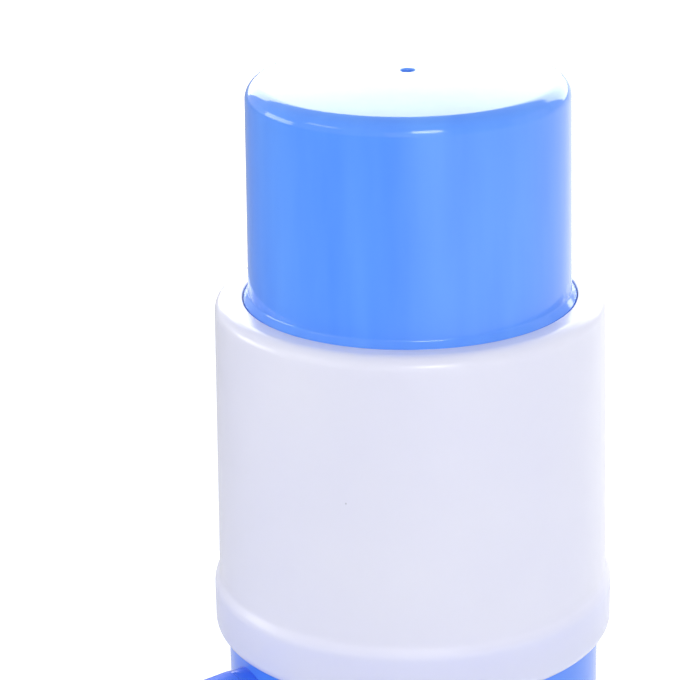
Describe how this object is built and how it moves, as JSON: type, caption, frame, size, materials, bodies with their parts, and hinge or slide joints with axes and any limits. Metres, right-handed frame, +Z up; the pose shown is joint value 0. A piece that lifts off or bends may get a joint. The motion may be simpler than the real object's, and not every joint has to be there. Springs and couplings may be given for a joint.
{
  "type": "water jug hand pump",
  "caption": "Hand-pressed bellows pump that clamps on the neck of a water jug and pours from a bent side spout.",
  "frame": {"origin": "centre of the neck clamp's mouth, on the plane that the pump stands on", "axes": "+Z up along the pump's axis, towards the press cap; -X the way the spout points"},
  "size_m": [0.1351, 0.086, 0.1692],
  "materials": {
    "blue_plastic": "glossy moulded light-blue ABS",
    "white_plastic": "glossy milky-white polypropylene",
    "inner_plastic": "natural white polypropylene",
    "bellows_plastic": "soft translucent polyethylene",
    "seal_rubber": "white silicone rubber",
    "flap_rubber": "grey silicone rubber",
    "screw_steel": "bright stainless steel"
  },
  "bodies": {
    "base": {"base_body": "blue_plastic", "housing": "white_plastic", "neck_gasket": "seal_rubber", "deck_plate": "inner_plastic", "deck_seal": "seal_rubber", "outlet_valve_pin": "inner_plastic", "outlet_pin_clip": "inner_plastic", "bellows_clamp_ring": "inner_plastic", "deck_screws": "screw_steel", "bellows": "bellows_plastic", "spout": "blue_plastic", "spout_oring": "seal_rubber"},
    "cap": {"push_cap": "blue_plastic", "top_plate": "inner_plastic", "top_ring": "inner_plastic", "cap_screws": "screw_steel", "intake_valve_pin": "inner_plastic", "intake_pin_clip": "inner_plastic"},
    "intake_flap": {"intake_flap": "flap_rubber"},
    "outlet_flap": {"outlet_flap": "flap_rubber"},
    "collet": {"collet": "inner_plastic"},
    "clamp_ring": {"clamp_ring": "blue_plastic"}
  },
  "joints": [
    {"name": "cap_press", "type": "slide", "parent": "base", "child": "cap", "axis": [0, 0, -1], "range_m": [0, 0.038], "stiffness_N_per_m": 400, "springref_m": -0.006, "deforming": ["bellows"]},
    {"name": "intake_lift", "type": "slide", "parent": "cap", "child": "intake_flap", "axis": [0, 0, -1], "range_m": [0, 0.002], "stiffness_N_per_m": 8, "springref_m": -0.001},
    {"name": "outlet_lift", "type": "slide", "parent": "base", "child": "outlet_flap", "axis": [0, 0, -1], "range_m": [0, 0.002], "stiffness_N_per_m": 8, "springref_m": -0.001},
    {"name": "collet_slide", "type": "slide", "parent": "base", "child": "collet", "axis": [0, 0, 1], "range_m": [-0.0041, 0]},
    {"name": "clamp_turn", "type": "hinge", "parent": "collet", "child": "clamp_ring", "pos_m": [0, 0, 0], "axis": [0, 0, 1], "range_deg": [-360, 0]}
  ],
  "couplings": [
    {"joint": "collet_slide", "follows": "clamp_turn", "m_per_rad": 0.00063662}
  ]
}
